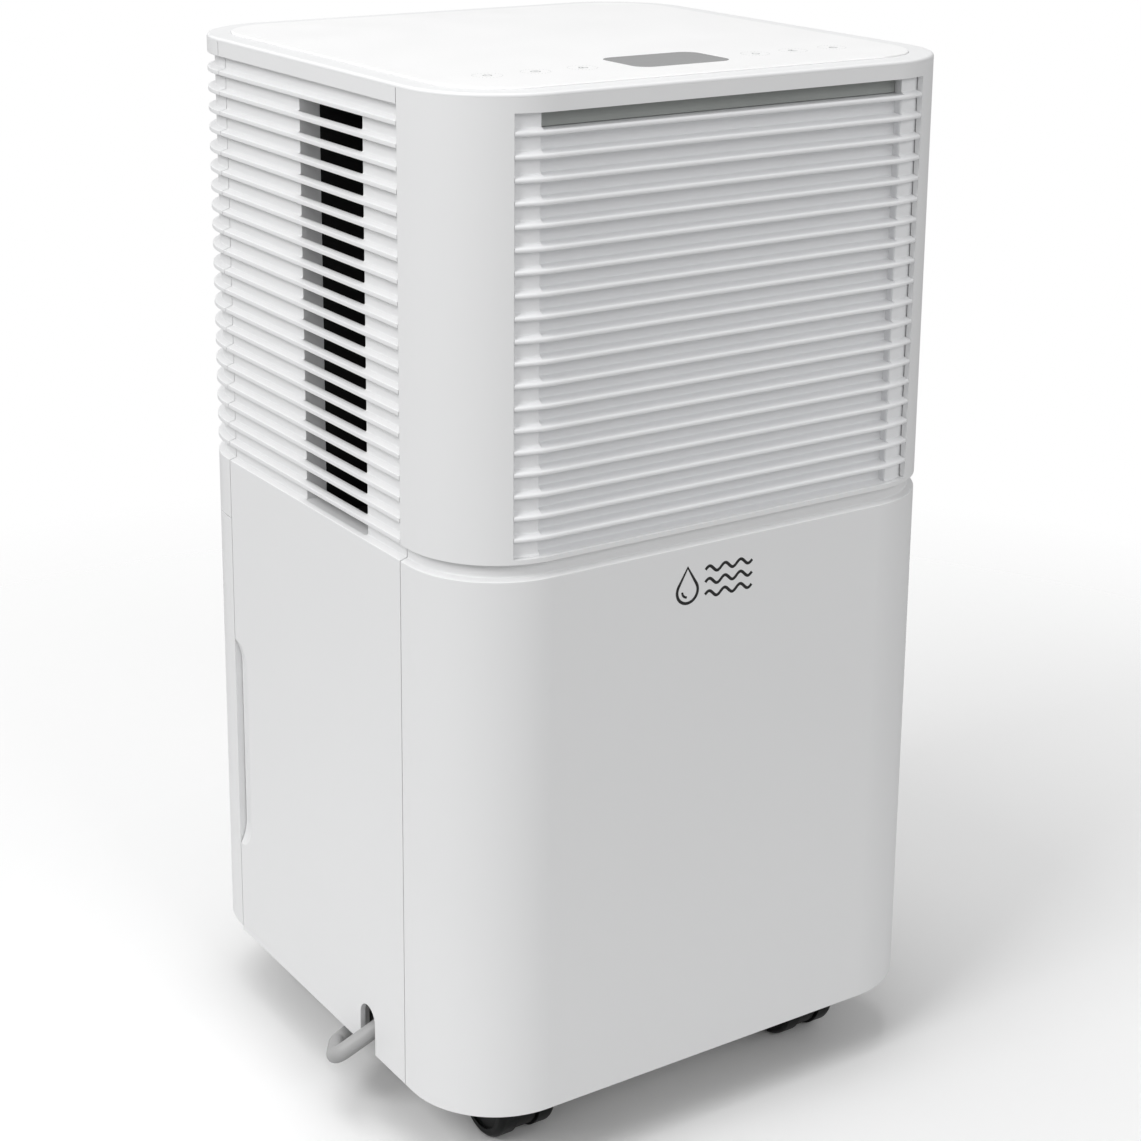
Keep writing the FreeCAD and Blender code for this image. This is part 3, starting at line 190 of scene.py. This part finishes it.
def smoked(name, colour, roughness, coat=0.3):
    """Smooth smoked plastic: a faint cloud in its colour, and polish that varies slightly."""
    material, tree, shader = new_material(name)
    here = object_coordinates(tree)
    cloud = noise(tree, here, 25.0, 2.0)
    dark = tuple(c * 0.94 for c in colour)
    tree.links.new(mixed(tree, remap(tree, cloud, 0.3, 0.7, 0, 1), dark, colour),
                   shader.inputs["Base Color"])
    polish = noise(tree, here, 60.0, 2.0)
    tree.links.new(remap(tree, polish, 0.3, 0.7, roughness, roughness + 0.05),
                   shader.inputs["Roughness"])
    shader.inputs["Coat Weight"].default_value = coat
    tree.links.new(bevelled_normal(tree, 0.3 * MM), shader.inputs["Normal"])
    return material


NET_PITCH = 1.2 * MM              # from one thread of the net to the next
THREAD_EDGE = 0.1                 # softness of a thread's edge
FRAY_SCALE = 400.0


def woven_net(name, colour):
    """Fine nylon net with open meshes."""
    material, tree, shader = new_material(name)
    here = object_coordinates(tree)
    split = tree.nodes.new("ShaderNodeSeparateXYZ")
    tree.links.new(here, split.inputs["Vector"])
    threads = []
    for axis in ("X", "Z"):
        wave = tree.nodes.new("ShaderNodeMath")
        wave.operation = "MULTIPLY"
        tree.links.new(split.outputs[axis], wave.inputs[0])
        wave.inputs[1].default_value = math.tau / NET_PITCH
        sine = tree.nodes.new("ShaderNodeMath")
        sine.operation = "SINE"
        tree.links.new(wave.outputs["Value"], sine.inputs[0])
        threads.append(remap(tree, sine.outputs["Value"], -THREAD_EDGE, THREAD_EDGE, 0.0, 1.0))
    both = tree.nodes.new("ShaderNodeMath")
    both.operation = "MAXIMUM"
    tree.links.new(threads[0], both.inputs[0])
    tree.links.new(threads[1], both.inputs[1])
    fray = noise(tree, here, FRAY_SCALE, 3.0)
    tree.links.new(mixed(tree, fray, colour, tuple(c * 1.8 for c in colour)),
                   shader.inputs["Base Color"])
    shader.inputs["Roughness"].default_value = 0.75
    tree.links.new(both.outputs["Value"], shader.inputs["Alpha"])
    tree.links.new(bump(tree, both.outputs["Value"], 0.3 * MM, 0.6), shader.inputs["Normal"])
    return material


MATERIALS = {
    "casing_white": moulded_plastic("satin_white", (0.86, 0.863, 0.867), 0.42, edge=0.2 * MM),
    # Painted light: the grille's white is lighter than the casing's same plastic, to brighten its
    # shaded cells.
    "grille_white": moulded_plastic("grille_white", (0.92, 0.925, 0.935), 0.42,
                                    edge=0.12 * MM),
    "touch_panel_white": moulded_plastic("touch_white", (0.935, 0.935, 0.935), 0.42, depth=0.0),
    "display_smoke": smoked("display_smoke", (0.36, 0.365, 0.365), 0.22),
    "lens_smoke": smoked("lens_smoke", (0.40, 0.42, 0.405), 0.30),
    "circuit_board": moulded_plastic("circuit_board", (0.02, 0.16, 0.07), 0.35, grain=700),
    "spring_steel": metal("spring_steel", (0.72, 0.72, 0.70), 0.25),
    "inner_grey_plastic": moulded_plastic("inner_grey", (0.62, 0.62, 0.61), 0.5),
    "black_plastic": moulded_plastic("inner_black", (0.012, 0.012, 0.012), 0.5),
    "filter_net": woven_net("filter_net", (0.05, 0.05, 0.05)),
    "zinc_steel": metal("zinc_steel", (0.62, 0.63, 0.65), 0.32),
    "tank_plastic": moulded_plastic("tank_plastic", (0.66, 0.70, 0.73), 0.28),
    "handle_plastic": moulded_plastic("handle_plastic", (0.70, 0.70, 0.70), 0.38),
    "float_foam": moulded_plastic("float_foam", (0.85, 0.85, 0.82), 0.8, grain=500,
                                  depth=0.2 * MM),
    "magnet_metal": metal("magnet_metal", (0.35, 0.35, 0.37), 0.3),
    "fin_aluminium": metal("fin_aluminium", (0.80, 0.81, 0.83), 0.3, (1, 30, 1)),
    "copper_tube": metal("copper_tube", (0.72, 0.38, 0.22), 0.28),
    "compressor_black": moulded_plastic("compressor_black", (0.015, 0.015, 0.015), 0.35),
    "motor_steel": metal("motor_steel", (0.45, 0.46, 0.48), 0.4),
    "capacitor_white": moulded_plastic("capacitor_white", (0.80, 0.80, 0.76), 0.3),
    "foot_rubber": moulded_plastic("foot_rubber", (0.02, 0.02, 0.02), 0.75, grain=900),
    "cable_grey": moulded_plastic("cable_grey", (0.40, 0.40, 0.40), 0.48, grain=1500),
    "castor_black": moulded_plastic("castor_black", (0.006, 0.007, 0.007), 0.35, mottling=0.1,
                                    specular=0.25),
}
DARK_INK = moulded_plastic("dark_ink", (0.012, 0.012, 0.012), 0.45, depth=0.002 * MM)
GREY_INK = moulded_plastic("grey_ink", (0.42, 0.43, 0.43), 0.45, depth=0.002 * MM)

WIDE_FACE = 12 * MM               # a plane face wider than this is always shaded flat
SMOOTH_ANGLE = math.radians(28)
PLANE_ANGLE = math.radians(0.2)
CURVED_SHARE = 0.6                # share of a strip's outline that runs on smoothly if it is curved


def plane_regions(work):
    """Groups of coplanar faces that touch."""
    seen = set()
    for first in work.faces:
        if first.index in seen:
            continue
        seen.add(first.index)
        region = [first]
        for face in region:
            for edge in face.edges:
                if len(edge.link_faces) != 2 or edge.calc_face_angle(math.pi) > PLANE_ANGLE:
                    continue
                for other in edge.link_faces:
                    if other.index not in seen:
                        seen.add(other.index)
                        region.append(other)
        yield region


def is_flat(region):
    """A plane face of the moulding, not one strip of a curved surface."""
    inside = {face.index for face in region}
    outline = 0.0
    smooth = 0.0
    for face in region:
        for edge in face.edges:
            if all(other.index in inside for other in edge.link_faces):
                continue
            length = edge.calc_length()
            outline += length
            if edge.calc_face_angle(math.pi) < SMOOTH_ANGLE:
                smooth += length
    area = sum(face.calc_area() for face in region)
    return 2 * area > WIDE_FACE * outline or smooth < CURVED_SHARE * outline


def shade(mesh):
    """Flat shading on plane faces and smooth shading on curved ones."""
    work = bmesh.new()
    work.from_mesh(mesh)
    work.faces.ensure_lookup_table()
    smooth = [True] * len(work.faces)
    for region in plane_regions(work):
        if is_flat(region):
            for face in region:
                smooth[face.index] = False
    work.free()
    mesh.polygons.foreach_set("use_smooth", smooth)
    mesh.set_sharp_from_angle(angle=SMOOTH_ANGLE)


def dress_cad_nodes():
    """Shading and the slot's material on each carried-over CAD node."""
    slots = {s["node"]: s["material_slot"] for s in frame["record"]["subparts"]}
    for name, node in frame["nodes"].items():
        node.data.materials.clear()
        node.data.materials.append(MATERIALS[slots[name]])
        shade(node.data)


dress_cad_nodes()


# ---- Printed marks -----------------------------------------------------------------------------
INK_HIGH = 0.05 * MM
INK_SUNK = 0.02 * MM


def arc(centre, radius, start, end, count=24):
    """Points on a round, from degrees to degrees."""
    points = []
    for i in range(count + 1):
        a = math.radians(start + (end - start) * i / count)
        points.append((centre[0] + radius * math.cos(a), centre[1] + radius * math.sin(a)))
    return points


def ring(centre, radius):
    return arc(centre, radius, 0, 345, 23)


def ribbon(work, points, width, place, closed=False):
    """Raised stripe of a given width along flat points."""
    count = len(points)
    rows = []
    for i, (x, y) in enumerate(points):
        before = points[i - 1] if closed or i > 0 else points[i]
        after = points[(i + 1) % count] if closed or i < count - 1 else points[i]
        along = Vector((after[0] - before[0], after[1] - before[1])).normalized()
        across = Vector((-along.y, along.x)) * width / 2
        row = []
        for side, height in ((1, -INK_SUNK), (1, INK_HIGH), (-1, INK_HIGH), (-1, -INK_SUNK)):
            row.append(work.verts.new(place(x + side * across.x, y + side * across.y, height)))
        rows.append(row)
    pairs = list(zip(rows, rows[1:]))
    if closed:
        pairs.append((rows[-1], rows[0]))
    for first, second in pairs:
        for i in range(4):
            j = (i + 1) % 4
            work.faces.new((first[i], first[j], second[j], second[i]))
    if not closed:
        work.faces.new(rows[0])
        work.faces.new(rows[-1])


def spot(work, centre, radius, place):
    """Raised round dot."""
    sides = 8
    rims = []
    for height in (-INK_SUNK, INK_HIGH):
        rims.append([work.verts.new(place(x, y, height))
                     for x, y in arc(centre, radius, 0, 360 - 360 / sides, sides - 1)])
    for i in range(sides):
        j = (i + 1) % sides
        work.faces.new((rims[0][i], rims[0][j], rims[1][j], rims[1][i]))
    work.faces.new(rims[0])
    work.faces.new(rims[1])


def printed(name, draw, place, ink):
    """One object from everything that a function draws; it rides on the cabinet."""
    work = bmesh.new()
    draw(work, place)
    bmesh.ops.recalc_face_normals(work, faces=work.faces[:])
    mesh = bpy.data.meshes.new(name)
    work.to_mesh(mesh)
    work.free()
    mesh.materials.append(ink)
    mark = bpy.data.objects.new(name, mesh)
    bpy.context.scene.collection.objects.link(mark)
    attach(mark, "cabinet")
    return mark


def drop_outline(centre, radius, tip):
    """Closed outline of a water drop: a round foot and straight shoulders to a tip."""
    spread = math.degrees(math.acos(radius / tip))
    foot = arc(centre, radius, 90 + spread, 450 - spread, 28)
    return foot + [(centre[0], centre[1] + tip)]


def wave(start, length, height, crests):
    """Sine line to the right of a start point."""
    count = 16 * crests
    return [(start[0] + length * i / count,
             start[1] + height * math.sin(math.tau * crests * i / count))
            for i in range(count + 1)]


EMBLEM_CENTRE = (-5 * MM, 250.5 * MM)
EMBLEM_LINE = 1.3 * MM
DROP_CENTRE = (-13 * MM, -2.2 * MM)
DROP_R = 5.2 * MM
DROP_TIP = 10.2 * MM
WAVE_START = -4 * MM
WAVE_LENGTH = 24 * MM
WAVE_HEIGHT = 1.3 * MM
WAVE_GAP = 5.4 * MM


def draw_emblem(work, place):
    """A water drop beside three waves."""
    ribbon(work, drop_outline(DROP_CENTRE, DROP_R, DROP_TIP), EMBLEM_LINE, place, True)
    ribbon(work, arc(DROP_CENTRE, DROP_R / 2, 180, 265, 10), 1.0 * MM, place)
    for row in (-1, 0, 1):
        line = wave((WAVE_START, row * WAVE_GAP), WAVE_LENGTH, WAVE_HEIGHT, 3)
        ribbon(work, line, EMBLEM_LINE, place)


SYMBOL_LINE = 0.4 * MM
SYMBOL_R = 1.9 * MM


def draw_power(work, place, x, y):
    ribbon(work, arc((x, y), 1.7 * MM, 125, 415), 0.45 * MM, place)
    ribbon(work, [(x, y + 0.4 * MM), (x, y + 2.3 * MM)], 0.45 * MM, place)


def draw_timer(work, place, x, y):
    ribbon(work, ring((x, y), SYMBOL_R), SYMBOL_LINE, place, True)
    ribbon(work, [(x, y + 1.2 * MM), (x, y), (x + 0.9 * MM, y)], SYMBOL_LINE, place)


def draw_fan(work, place, x, y):
    spot(work, (x, y), 0.5 * MM, place)
    for turn in (90, 210, 330):
        a = math.radians(turn)
        hub = (x + 1.3 * MM * math.cos(a), y + 1.3 * MM * math.sin(a))
        ribbon(work, arc(hub, 0.85 * MM, turn - 150, turn + 120, 12), SYMBOL_LINE, place)


def draw_drop(work, place, x, y):
    outline = drop_outline((x, y - 0.6 * MM), 1.4 * MM, 2.9 * MM)
    ribbon(work, outline, SYMBOL_LINE, place, True)


def draw_moon(work, place, x, y):
    ribbon(work, arc((x, y), SYMBOL_R, 60, 300), SYMBOL_LINE, place)
    ribbon(work, arc((x + SYMBOL_R / 2, y), 1.65 * MM, 95, 265, 16), SYMBOL_LINE, place)


def draw_lock(work, place, x, y):
    half = 1.5 * MM
    foot = y - SYMBOL_R
    body = [(x - half, foot), (x + half, foot), (x + half, y), (x - half, y)]
    ribbon(work, body, SYMBOL_LINE, place, True)
    ribbon(work, arc((x, y), 1.0 * MM, 0, 180, 12), SYMBOL_LINE, place)


KEY_SYMBOLS = [(-86, draw_power), (-64, draw_timer), (-42, draw_fan),
               (44, draw_drop), (64, draw_moon), (85, draw_lock)]
KEY_ROW = FRONT_Y + 45 * MM
KEY_RING = 6.0 * MM
KEY_DOTS = 26
DOT_R = 0.16 * MM


def draw_key_rings(work, place):
    """Dotted ring round each touch key."""
    for x, _ in KEY_SYMBOLS:
        for px, py in arc((x * MM, KEY_ROW), KEY_RING, 0, 360 - 360 / KEY_DOTS, KEY_DOTS - 1):
            spot(work, (px, py), DOT_R, place)


def draw_key_symbols(work, place):
    for x, symbol in KEY_SYMBOLS:
        symbol(work, place, x * MM, KEY_ROW)


def on_front(x, z, height):
    return Vector((EMBLEM_CENTRE[0] + x, FRONT_Y - height, EMBLEM_CENTRE[1] + z))


def on_top(x, y, height):
    return Vector((x, y, TOP_Z + height))


printed("front_emblem", draw_emblem, on_front, DARK_INK)
printed("key_rings", draw_key_rings, on_top, GREY_INK)
printed("key_symbols", draw_key_symbols, on_top, GREY_INK)


# ---- Stage -------------------------------------------------------------------------------------
FLOOR_SIZE = 12.0
FLOOR_FADE = (0.3, 0.8)           # the floor is solid up to the first distance, gone at the second


def add_floor():
    bpy.ops.mesh.primitive_plane_add(size=FLOOR_SIZE, location=(0, 0, 0))
    floor = bpy.context.object
    floor.name = "floor"
    material, tree, shader = new_material("pale_floor")
    here = object_coordinates(tree)
    cloud = noise(tree, here, 2.0, 2.0)
    pale = mixed(tree, cloud, (0.95, 0.95, 0.95), (0.97, 0.97, 0.97))
    # The object itself is lit by less of the floor than the camera sees.
    path = tree.nodes.new("ShaderNodeLightPath")
    tree.links.new(mixed(tree, path.outputs["Is Camera Ray"], (0.62, 0.62, 0.62), pale),
                   shader.inputs["Base Color"])
    shader.inputs["Roughness"].default_value = 0.7
    # The floor fades into the white surroundings.
    away = tree.nodes.new("ShaderNodeVectorMath")
    away.operation = "LENGTH"
    tree.links.new(here, away.inputs[0])
    tree.links.new(remap(tree, away.outputs["Value"], FLOOR_FADE[0], FLOOR_FADE[1], 1.0, 0.0),
                   shader.inputs["Alpha"])
    floor.data.materials.append(material)


SCENE_MIDDLE = Vector((0, 0, 0.25))
LIGHTS = {                         # where each soft light hangs, its size and its power
    "left_key": ((-2.05, -0.4, 1.9), 1.2, 36.0),
    "front_key": ((0.12, -2.4, 1.7), 0.9, 11.0),
    "right_fill": ((1.8, -1.6, 1.4), 1.6, 8.0),
    "top_key": ((-0.3, 0.3, 2.55), 1.8, 23.0),
    "back_fill": ((-0.9, 2.4, 1.3), 1.6, 8.0),
}
SURROUND = 0.34                    # light from the white surroundings
BACKDROP = 1.0                     # their brightness as the camera sees them


def add_area_light(name, location, size, power):
    data = bpy.data.lights.new(name, "AREA")
    data.size = size
    data.energy = power
    light = bpy.data.objects.new(name, data)
    bpy.context.scene.collection.objects.link(light)
    light.location = location
    light.visible_camera = False
    light.visible_glossy = not name.endswith("fill")    # a fill leaves no reflection
    light.rotation_mode = "QUATERNION"
    light.rotation_quaternion = (SCENE_MIDDLE - light.location).to_track_quat("-Z", "Y")


def add_lights():
    for name, (location, size, power) in LIGHTS.items():
        add_area_light(name, location, size, power)
    world = bpy.data.worlds.new("studio")
    bpy.context.scene.world = world
    world.use_nodes = True
    tree = world.node_tree
    background = tree.nodes["Background"]
    path = tree.nodes.new("ShaderNodeLightPath")
    strength = remap(tree, path.outputs["Is Camera Ray"], 0.0, 1.0, SURROUND, BACKDROP)
    background.inputs["Color"].default_value = (1.0, 1.0, 1.0, 1.0)
    tree.links.new(strength, background.inputs["Strength"])
    bpy.context.scene.view_settings.view_transform = "Standard"


# Camera, from where the object is seen: to the left of its front and from above.
CAMERA_POINT = Vector((-0.55013, -0.84121, 0.58451))
CAMERA_TURN = 33.455              # degrees to the left of the front
CAMERA_DIP = 14.518               # degrees below the horizon
CAMERA_ROLL = 0.526
LENS = 73.34
SENSOR = 36.0
SAME_PLACE = 0.001                # how near the camera is to its own point of view
RISE = -0.2018                    # the picture's centre lies below the lens axis


def add_camera():
    data = bpy.data.cameras.new("camera")
    data.sensor_width = SENSOR
    data.lens = LENS
    camera = bpy.data.objects.new("camera", data)
    bpy.context.scene.collection.objects.link(camera)
    turn = Matrix.Rotation(math.radians(-CAMERA_TURN), 4, "Z")
    dip = Matrix.Rotation(math.radians(90 - CAMERA_DIP), 4, "X")
    roll = Matrix.Rotation(math.radians(CAMERA_ROLL), 4, "Z")
    camera.matrix_world = Matrix.Translation(CAMERA_POINT) @ turn @ dip @ roll
    bpy.context.scene.camera = camera
    # The shift belongs to this point of view only: other views are centred by their aim.
    driver = data.driver_add("shift_y").driver
    driver.type = "SCRIPTED"
    place = driver.variables.new()
    place.name = "x"
    place.type = "TRANSFORMS"
    place.targets[0].id = camera
    place.targets[0].transform_type = "LOC_X"
    driver.expression = f"{RISE} if abs(x - ({CAMERA_POINT.x:.5f})) < {SAME_PLACE} else 0.0"


add_floor()
add_lights()
add_camera()
